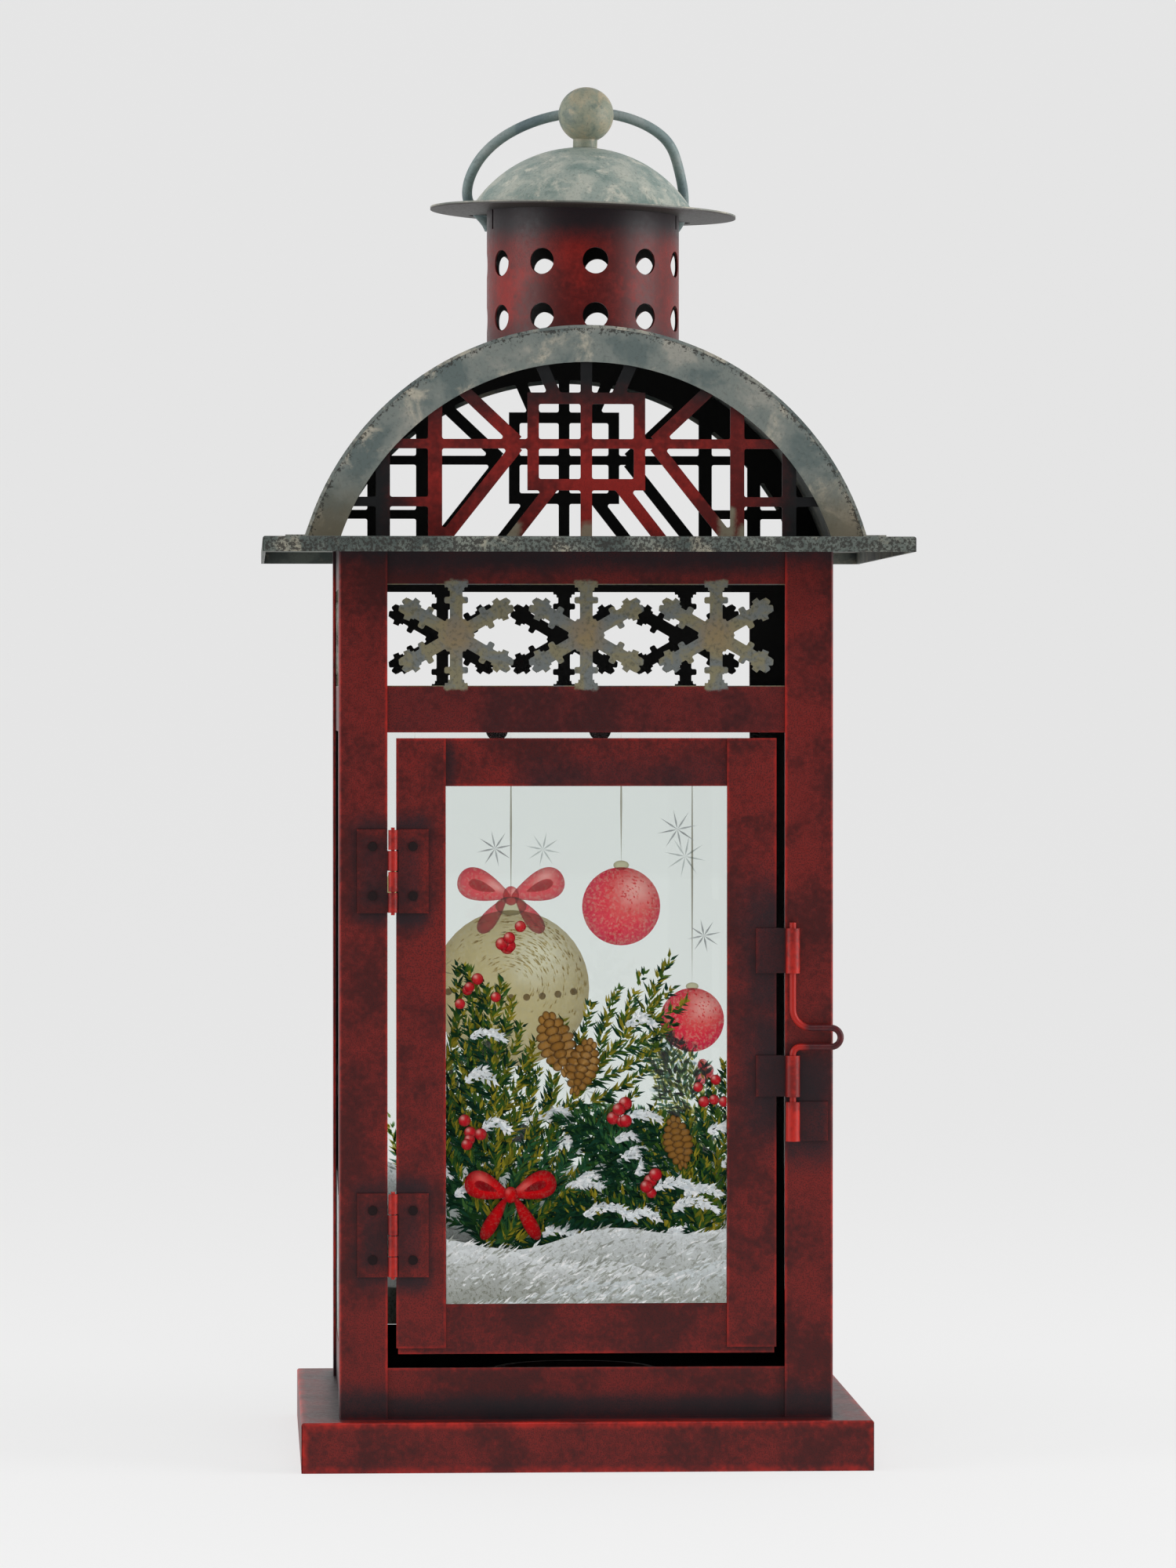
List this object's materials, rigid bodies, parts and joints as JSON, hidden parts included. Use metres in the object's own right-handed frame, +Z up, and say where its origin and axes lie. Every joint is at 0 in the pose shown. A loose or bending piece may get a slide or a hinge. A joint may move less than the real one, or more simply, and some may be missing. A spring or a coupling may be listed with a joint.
{
  "type": "tin candle lantern",
  "caption": "Square tin candle lantern with a glazed hinged door, snowflake friezes, a barrel roof with fretwork, a punched flue collar, a domed cap and a wire bail.",
  "frame": {"origin": "centre of the base's square outline, on the surface that the lantern stands on", "axes": "+Z up, the door faces -Y, +X to the right of someone who faces the door"},
  "size_m": [0.17, 0.17, 0.3685],
  "materials": {
    "red_paint": "satin dark red paint rubbed back with black along seams and brighter on edges",
    "hardware_red": "satin red paint, bright on knuckles and guides",
    "fretwork_red": "satin red paint shaded to black at the top, with grey dabs at the foot",
    "frieze_red_and_silver": "dark red bands with the flakes brushed in dull silver grey",
    "pewter_paint": "sponged grey-green paint with cream patches, like weathered pewter",
    "painted_glass": "clear float glass with a painted winter design and a snowy ground",
    "clip_tin": "thin dark paint on tin",
    "cup_tin": "satin dark red paint"
  },
  "bodies": {
    "lantern": {"arch_fascia_back": "pewter_paint", "arch_fascia_front": "pewter_paint", "ball": "pewter_paint", "base_tray": "red_paint", "bottom_rail_back": "red_paint", "bottom_rail_front": "red_paint", "bottom_rail_left": "red_paint", "bottom_rail_right": "red_paint", "brim": "pewter_paint", "candle_cup": "cup_tin", "collar": "red_paint", "corner_post_back_left": "red_paint", "corner_post_back_right": "red_paint", "corner_post_front_left": "red_paint", "corner_post_front_right": "red_paint", "dome": "pewter_paint", "fretwork_back": "fretwork_red", "fretwork_front": "fretwork_red", "frieze_back": "frieze_red_and_silver", "frieze_front": "frieze_red_and_silver", "frieze_left": "frieze_red_and_silver", "frieze_right": "frieze_red_and_silver", "hinge_pins": "hardware_red", "hinge_post_leaf_lower": "hardware_red", "hinge_post_leaf_upper": "hardware_red", "latch_keeper": "hardware_red", "pane_back": "painted_glass", "pane_clips": "clip_tin", "pane_left": "painted_glass", "pane_right": "painted_glass", "rivets_post_leaves": "hardware_red", "roof_tray": "pewter_paint", "vault": "pewter_paint"},
    "door": {"door_glass": "painted_glass", "door_glass_clips": "clip_tin", "door_rail_bottom": "red_paint", "door_rail_top": "red_paint", "door_stile_left": "red_paint", "door_stile_right": "red_paint", "hinge_door_leaf_lower": "hardware_red", "hinge_door_leaf_upper": "hardware_red", "latch_guide_lower": "hardware_red", "latch_guide_upper": "hardware_red", "rivets_door_leaves": "hardware_red"},
    "latch_bolt": {"latch_bolt": "hardware_red"},
    "bail": {"bail": "pewter_paint"}
  },
  "joints": [
    {"name": "door_swing", "type": "hinge", "parent": "lantern", "child": "door", "pos_m": [-0.05091, -0.0665, 0.1093], "axis": [0, 0, -1], "range_deg": [0, 170]},
    {"name": "latch_slide", "type": "slide", "parent": "door", "child": "latch_bolt", "axis": [0, 0, 1], "range_m": [0, 0.0072]},
    {"name": "bail_swing", "type": "hinge", "parent": "lantern", "child": "bail", "pos_m": [0.00221, 0.01902, 0.3343], "axis": [-0.9995, 0, 0.0314], "range_deg": [0, 50]}
  ]
}
